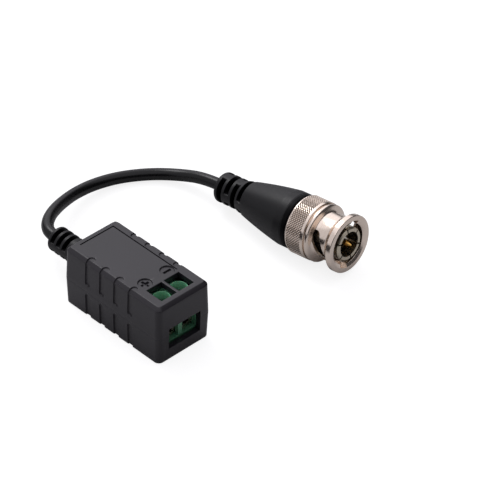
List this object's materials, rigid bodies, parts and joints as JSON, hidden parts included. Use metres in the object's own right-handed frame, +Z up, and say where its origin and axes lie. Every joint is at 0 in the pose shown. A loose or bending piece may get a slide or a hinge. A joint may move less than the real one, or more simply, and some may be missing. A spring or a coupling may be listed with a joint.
{
  "type": "video balun",
  "caption": "Passive video balun: small box with screw terminals for a twisted pair, a short coaxial cord and a bayonet coaxial plug with a turning nut.",
  "frame": {"origin": "on the table under the middle of the housing, halfway between its end faces and its side faces", "axes": "+X along the housing towards the wire window, +Y towards the side where the plug lies, +Z up"},
  "size_m": [0.0629, 0.0599, 0.0154],
  "materials": {
    "housing_plastic": "fine matt moulded texture",
    "board_laminate": "solder mask",
    "terminal_plastic": "satin moulded",
    "screw_steel": "zinc plated",
    "clamp_metal": "nickel plated brass",
    "contact_metal": "tin plated brass",
    "ferrite": "sintered, matt",
    "copper_wire": "copper",
    "chip_body": "moulded epoxy",
    "cable_jacket": "soft sheen",
    "boot_pvc": "matt moulded",
    "plug_nickel": "nickel plated, bright",
    "plug_insulator": "plain",
    "pin_gold": "gold plated",
    "gasket_rubber": "plain",
    "spring_steel": "plain spring steel"
  },
  "bodies": {
    "housing": {"housing_top": "housing_plastic", "housing_bottom": "housing_plastic", "circuit_board": "board_laminate", "terminal_block": "terminal_plastic", "contact_plus": "contact_metal", "contact_minus": "contact_metal", "balun_core": "ferrite", "winding_balanced": "copper_wire", "winding_coaxial": "copper_wire", "surge_suppressor": "chip_body", "chip_capacitor": "chip_body", "chip_resistor": "chip_body", "strain_relief": "boot_pvc", "cable_inner": "cable_jacket", "cable_conductor": "copper_wire", "cable_braid": "copper_wire", "cord": "cable_jacket", "cable_plug_end": "cable_jacket", "plug_boot": "boot_pvc", "crimp_ferrule": "plug_nickel", "plug_body": "plug_nickel", "rear_insulator": "plug_insulator", "front_insulator": "plug_insulator", "centre_pin": "pin_gold", "gasket": "gasket_rubber", "wave_washer": "spring_steel"},
    "thrust_washer": {"thrust_washer": "spring_steel"},
    "coupling_nut": {"coupling_nut": "plug_nickel", "retaining_ring": "spring_steel"},
    "screw_plus": {"terminal_screw_plus": "screw_steel"},
    "screw_minus": {"terminal_screw_minus": "screw_steel"},
    "clamp_plus": {"wire_clamp_plus": "clamp_metal"},
    "clamp_minus": {"wire_clamp_minus": "clamp_metal"}
  },
  "joints": [
    {"name": "nut_float", "type": "slide", "parent": "housing", "child": "thrust_washer", "axis": [0.9931, 0.0782, 0.0872], "range_m": [0, 0.0009], "stiffness_N_per_m": 2000, "springref_m": -0.0005, "deforming": ["wave_washer"]},
    {"name": "nut_turn", "type": "hinge", "parent": "thrust_washer", "child": "coupling_nut", "pos_m": [0.00755, 0.04431, 0.00713], "axis": [0.9931, 0.0782, 0.0872], "continuous": true},
    {"name": "screw_turn_plus", "type": "hinge", "parent": "housing", "child": "screw_plus", "pos_m": [0.0106, -0.00254, 0.0102], "axis": [0, 0, -1], "range_deg": [0, 920]},
    {"name": "clamp_rise_plus", "type": "slide", "parent": "housing", "child": "clamp_plus", "axis": [0, 0, 1], "range_m": [0, 0.00115]},
    {"name": "screw_turn_minus", "type": "hinge", "parent": "housing", "child": "screw_minus", "pos_m": [0.0106, 0.00254, 0.0102], "axis": [0, 0, -1], "range_deg": [0, 920]},
    {"name": "clamp_rise_minus", "type": "slide", "parent": "housing", "child": "clamp_minus", "axis": [0, 0, 1], "range_m": [0, 0.00115]}
  ],
  "couplings": [
    {"joint": "screw_turn_plus", "follows": "clamp_rise_plus", "rad_per_m": 13963},
    {"joint": "screw_turn_minus", "follows": "clamp_rise_minus", "rad_per_m": 13963}
  ]
}
